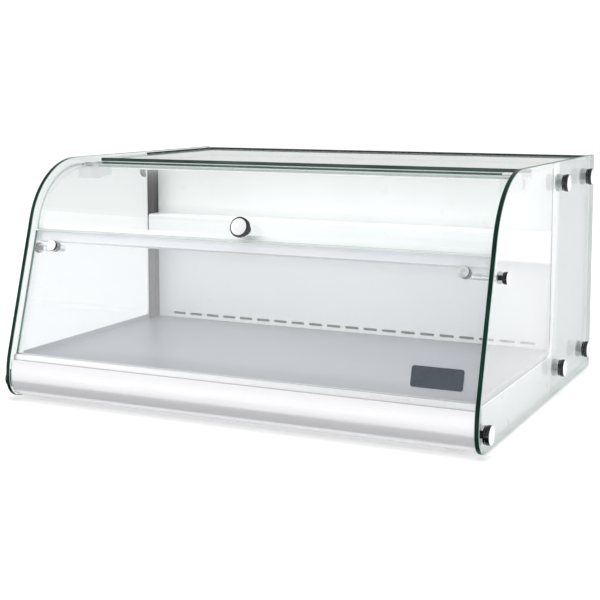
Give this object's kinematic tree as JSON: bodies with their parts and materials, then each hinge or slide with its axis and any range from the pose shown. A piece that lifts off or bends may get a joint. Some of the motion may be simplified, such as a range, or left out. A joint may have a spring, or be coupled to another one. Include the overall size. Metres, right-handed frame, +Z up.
{
  "type": "glass door merchandiser",
  "caption": "Countertop refrigerated display with curved glass sides, a fixed lower front pane, a lift-up curved glass flap and a glass top, over a white body.",
  "frame": {"origin": "centre of the whole object's footprint, on the counter under the rubber feet", "axes": "+X along the width, to the right as the customer sees it, +Y from the customer side to the rear cover, +Z up"},
  "size_m": [0.867, 0.7, 0.411],
  "materials": {
    "glass": "clear float glass with green polished edges",
    "chrome": "polished",
    "white_paint": "semi-gloss white powder coat",
    "aluminium": "fine satin, light silver",
    "dark_liner": "glossy dark grey",
    "stainless": "brushed stainless steel",
    "foam": "rigid polyurethane foam",
    "diffuser": "frosted light cover",
    "black_plastic": "fine textured",
    "button_grey": "satin",
    "fin_metal": "bare fins",
    "compressor_black": "gloss black enamel",
    "rubber": "matte",
    "badge": "blank dark label plate"
  },
  "bodies": {
    "cabinet": {"air_duct": "white_paint", "badge_plate": "badge", "base_tray": "white_paint", "clamp_bolt_left": "chrome", "clamp_bolt_right": "chrome", "compressor": "compressor_black", "condenser": "fin_metal", "control_panel": "black_plastic", "cross_rail": "aluminium", "deck_pan": "stainless", "end_liner_left": "dark_liner", "end_liner_right": "dark_liner", "end_panel_left": "white_paint", "end_panel_right": "white_paint", "evaporator_coil": "fin_metal", "evaporator_fan_frame": "black_plastic", "foot_front_left": "rubber", "foot_front_right": "rubber", "foot_rear_left": "rubber", "foot_rear_right": "rubber", "front_apron": "aluminium", "glass_bolt_bottom_mid_left": "chrome", "glass_bolt_bottom_mid_right": "chrome", "glass_bolt_bottom_rear_left": "chrome", "glass_bolt_bottom_rear_right": "chrome", "glass_bolt_nose_left": "chrome", "glass_bolt_nose_right": "chrome", "glass_bolt_top_mid_left": "chrome", "glass_bolt_top_mid_right": "chrome", "glass_bolt_top_rear_left": "chrome", "glass_bolt_top_rear_right": "chrome", "hinge_bracket_left": "aluminium", "hinge_bracket_right": "aluminium", "insulation": "foam", "led_bar": "aluminium", "led_diffuser": "diffuser", "lower_pane": "glass", "mains_inlet": "black_plastic", "pane_channel": "aluminium", "pane_clamp_left": "chrome", "pane_clamp_right": "chrome", "pane_disc_left": "chrome", "pane_disc_right": "chrome", "rear_bulkhead": "white_paint", "rear_cover": "white_paint", "side_glass_left": "glass", "side_glass_right": "glass", "top_glass": "glass"},
    "flap": {"flap_glass": "glass", "flap_knob": "chrome", "knob_screw": "chrome", "hinge_clip_left": "aluminium", "hinge_clip_right": "aluminium"},
    "evaporator_rotor": {"evaporator_fan_rotor": "black_plastic"},
    "condenser_rotor": {"condenser_fan_rotor": "black_plastic"},
    "button_set": {"button_set": "button_grey"},
    "button_up": {"button_up": "button_grey"},
    "button_down": {"button_down": "button_grey"},
    "rocker_power": {"rocker_power": "black_plastic"},
    "rocker_light": {"rocker_light": "black_plastic"}
  },
  "joints": [
    {"name": "flap_hinge", "type": "hinge", "parent": "cabinet", "child": "flap", "pos_m": [0, -0.082, 0.383], "axis": [-1, 0, 0], "range_deg": [0, 75]},
    {"name": "evaporator_fan_spin", "type": "hinge", "parent": "cabinet", "child": "evaporator_rotor", "pos_m": [0, 0.1398, 0.258], "axis": [0, 1, 0], "continuous": true},
    {"name": "condenser_fan_spin", "type": "hinge", "parent": "cabinet", "child": "condenser_rotor", "pos_m": [0.17, 0.27, 0.191], "axis": [0, 1, 0], "continuous": true},
    {"name": "button_set_press", "type": "slide", "parent": "cabinet", "child": "button_set", "axis": [0, -1, 0], "range_m": [0, 0.0008], "stiffness_N_per_m": 500},
    {"name": "button_up_press", "type": "slide", "parent": "cabinet", "child": "button_up", "axis": [0, -1, 0], "range_m": [0, 0.0008], "stiffness_N_per_m": 500},
    {"name": "button_down_press", "type": "slide", "parent": "cabinet", "child": "button_down", "axis": [0, -1, 0], "range_m": [0, 0.0008], "stiffness_N_per_m": 500},
    {"name": "rocker_power_tilt", "type": "hinge", "parent": "cabinet", "child": "rocker_power", "pos_m": [-0.338, 0.3428, 0.341], "axis": [-1, 0, 0], "range_deg": [0, 14]},
    {"name": "rocker_light_tilt", "type": "hinge", "parent": "cabinet", "child": "rocker_light", "pos_m": [-0.362, 0.3428, 0.341], "axis": [-1, 0, 0], "range_deg": [0, 14]}
  ]
}
